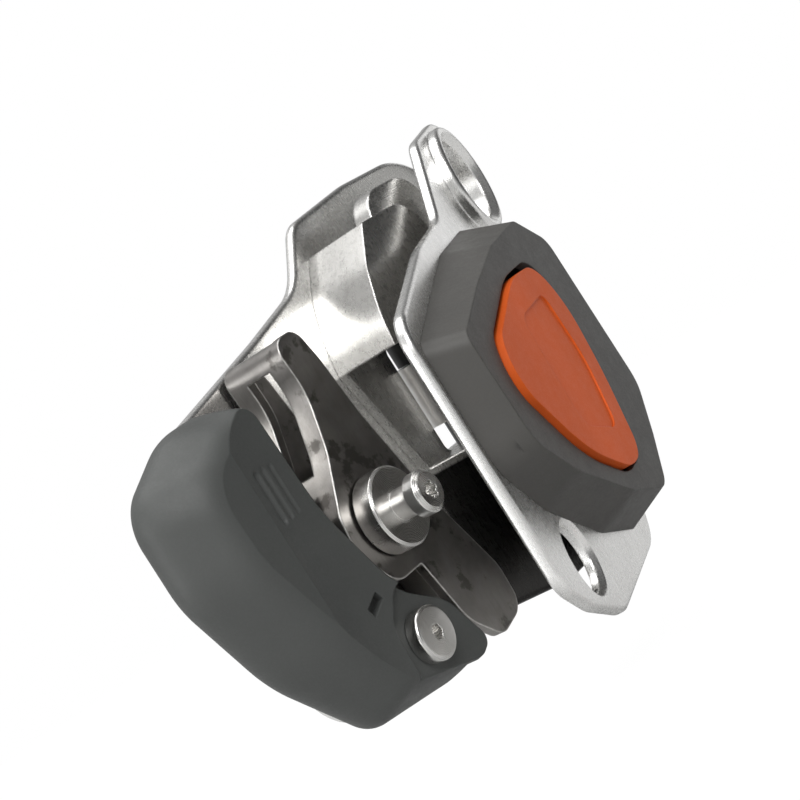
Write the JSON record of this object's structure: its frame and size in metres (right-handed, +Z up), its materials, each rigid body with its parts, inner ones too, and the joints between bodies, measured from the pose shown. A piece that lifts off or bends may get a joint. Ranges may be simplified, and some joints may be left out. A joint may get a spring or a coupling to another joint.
{
  "type": "rope ascender",
  "caption": "Openable rope ascender: a sprung cam in a steel channel grips the rope against a fixed shoe, with a release handle and a hinged front plate under a latch cover with a push button",
  "frame": {"origin": "centre of the carabiner eye, on the back plate's inner face", "axes": "+Z up along the rope, +X from the handle towards the carabiner eye, -Y out of the front"},
  "size_m": [0.1183, 0.0398, 0.0766],
  "materials": {
    "aluminium_plate": "polished, lightly tumbled edges",
    "shoe_steel": "satin folded stainless sheet",
    "lug_steel": "satin",
    "rivet_steel": "satin",
    "pin_steel": "bright turned stainless",
    "washer_steel": "bright turned stainless",
    "handle_pin_steel": "fine turned",
    "knob_plastic": "moulded nylon",
    "sleeve_steel": "satin",
    "barrel_steel": "satin",
    "cam_steel": "satin, dark",
    "jaw_steel": "hardened, ground",
    "bush_bronze": "sintered bronze",
    "spring_steel": "drawn wire",
    "handle_plastic": "fine spark texture",
    "frame_steel": "satin",
    "cover_plastic": "fine spark texture",
    "button_plastic": "fine spark texture",
    "screw_steel": "satin"
  },
  "bodies": {
    "frame": {"back_plate": "aluminium_plate", "fixed_shoe": "shoe_steel", "shoe_rivets": "rivet_steel", "load_lug": "lug_steel", "lug_spacers": "rivet_steel", "lug_rivets": "rivet_steel", "main_pin": "pin_steel", "pin_washer": "washer_steel", "back_washer": "washer_steel", "handle_pin": "handle_pin_steel", "hinge_shaft": "pin_steel", "hinge_knob": "knob_plastic", "cam_spring": "spring_steel"},
    "hinge_carrier": {"hinge_sleeve": "sleeve_steel"},
    "front": {"front_plate": "aluminium_plate", "hinge_leaf": "barrel_steel", "leaf_rivets": "rivet_steel", "latch_cover": "cover_plastic", "cover_screws": "screw_steel", "catch_leaf": "spring_steel", "catch_rivets": "rivet_steel", "button_spring": "spring_steel"},
    "button": {"release_button": "button_plastic"},
    "cam": {"cam_channel": "cam_steel", "cam_jaw": "jaw_steel", "jaw_rivets": "rivet_steel", "cam_bush": "bush_bronze"},
    "handle": {"handle_shell": "handle_plastic", "handle_frame": "frame_steel", "handle_bush": "bush_bronze", "handle_screws": "screw_steel"}
  },
  "joints": [
    {"name": "plate_swing", "type": "hinge", "parent": "frame", "child": "hinge_carrier", "pos_m": [-0.0255, -0.003, -0.03], "axis": [0, 0, 1], "range_deg": [-17.4, 4]},
    {"name": "plate_slide", "type": "slide", "parent": "hinge_carrier", "child": "front", "axis": [0, 0, 1], "range_m": [-0.0042, 0]},
    {"name": "button_press", "type": "slide", "parent": "front", "child": "button", "axis": [-0.299, 0.9542, 0], "range_m": [0, 0.0012], "stiffness_N_per_m": 900, "springref_m": -0.0005},
    {"name": "handle_squeeze", "type": "hinge", "parent": "frame", "child": "handle", "pos_m": [-0.075, 0, -0.0464], "axis": [0, 1, 0], "range_deg": [-2, 4], "stiffness_Nm_per_rad": 1.2},
    {"name": "cam_turn", "type": "hinge", "parent": "frame", "child": "cam", "pos_m": [-0.067, 0, -0.03], "axis": [0, 1, 0], "range_deg": [-6.4, 12.8]}
  ],
  "couplings": [
    {"joint": "cam_turn", "follows": "handle_squeeze", "ratio": 3.2}
  ]
}
